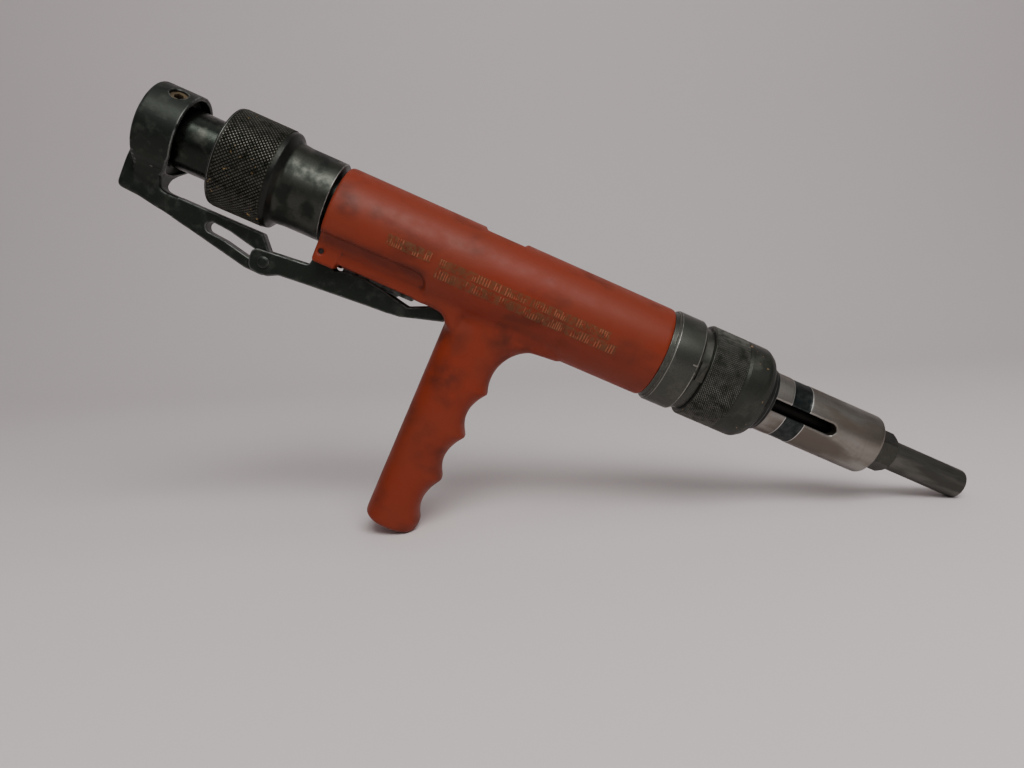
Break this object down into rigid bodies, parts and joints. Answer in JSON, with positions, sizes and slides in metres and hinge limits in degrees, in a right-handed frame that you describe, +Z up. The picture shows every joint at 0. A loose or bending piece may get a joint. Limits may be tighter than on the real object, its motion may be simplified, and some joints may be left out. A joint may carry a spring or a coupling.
{
  "type": "powder-actuated nail gun",
  "caption": "Pistol-gripped powder-actuated fastening tool with a knurled breech cap, striker yoke, trigger lever, knurled front collar and a sliding slotted barrel.",
  "frame": {"origin": "under the middle of the tool, on the surface it rests on with the butt of its grip and the lip of its muzzle", "axes": "+Z up, +X towards the muzzle (level, in the plane of the barrel), +Y to the tool's left as it points along +X"},
  "size_m": [0.3766, 0.0438, 0.2019],
  "materials": {
    "orange_paint": "satin orange-red paint over a casting, grimy and worn",
    "black_phosphate": "black phosphated steel, edges worn bright",
    "blued_steel": "glossy blued steel",
    "knurled_black": "black oxide over diamond knurling",
    "dark_ring": "dark oxide, bright at the rear bevel",
    "barrel_steel": "brushed steel with a brownish patina",
    "dark_steel": "dark grey-brown steel",
    "machined_steel": "turned and oiled",
    "spring_steel": "drawn wire",
    "rubber": "matt black",
    "rusty_screw": "browned by rust"
  },
  "bodies": {
    "frame": {"housing": "orange_paint", "receiver_tube": "machined_steel", "breech_block": "machined_steel", "breech_retaining_ring": "machined_steel", "lever_pivot_pin": "machined_steel", "spring_plate": "black_phosphate", "lever_spring": "spring_steel", "front_ring": "dark_ring", "guide_pin": "machined_steel", "wiper_bush": "rubber"},
    "breech": {"breech_cap": "knurled_black"},
    "yoke": {"firing_yoke": "black_phosphate", "striker_sleeve": "blued_steel", "hammer_rod": "machined_steel", "main_spring": "spring_steel", "yoke_set_screw": "rusty_screw"},
    "firing_pin": {"firing_pin": "machined_steel", "firing_pin_spring": "spring_steel"},
    "lever": {"trigger_lever": "black_phosphate", "lever_rivet": "black_phosphate"},
    "collar": {"knurled_collar": "knurled_black"},
    "key": {"lock_key": "dark_ring", "lock_key_spring": "spring_steel"},
    "barrel": {"barrel_sleeve": "barrel_steel", "buffer_ring": "rubber", "muzzle_tube": "dark_steel", "muzzle_nut": "dark_steel"},
    "piston": {"piston": "machined_steel", "rear_piston_ring": "machined_steel", "front_piston_ring": "machined_steel"}
  },
  "joints": [
    {"name": "yoke_slide", "type": "slide", "parent": "frame", "child": "yoke", "axis": [0.8977, 0, -0.4406], "range_m": [0, 0.0165], "stiffness_N_per_m": 700, "springref_m": -0.02, "deforming": ["main_spring", "lever_spring"]},
    {"name": "lever_turn", "type": "hinge", "parent": "frame", "child": "lever", "pos_m": [-0.10285, 0, 0.12832], "axis": [0, 1, 0], "range_deg": [0, 10]},
    {"name": "breech_cap_turn", "type": "hinge", "parent": "frame", "child": "breech", "pos_m": [-0.11415, 0, 0.15682], "axis": [0.8977, 0, -0.4406], "range_deg": [0, 90]},
    {"name": "firing_pin_slide", "type": "slide", "parent": "frame", "child": "firing_pin", "axis": [0.8977, 0, -0.4406], "range_m": [0, 0.003], "stiffness_N_per_m": 400, "springref_m": -0.004, "deforming": ["firing_pin_spring"]},
    {"name": "collar_turn", "type": "hinge", "parent": "frame", "child": "collar", "pos_m": [0.07283, 0, 0.06115], "axis": [0.8977, 0, -0.4406], "range_deg": [0, 60]},
    {"name": "lock_key_press", "type": "slide", "parent": "frame", "child": "key", "axis": [0, 1, 0], "range_m": [0, 0.0008], "stiffness_N_per_m": 400, "springref_m": -0.002, "deforming": ["lock_key_spring"]},
    {"name": "barrel_slide", "type": "slide", "parent": "frame", "child": "barrel", "axis": [0.8977, 0, -0.4406], "range_m": [0, 0.06]},
    {"name": "piston_slide", "type": "slide", "parent": "barrel", "child": "piston", "axis": [0.8977, 0, -0.4406], "range_m": [0, 0.06]}
  ],
  "couplings": [
    {"joint": "lever_turn", "follows": "yoke_slide", "rad_per_m": 10.578}
  ]
}
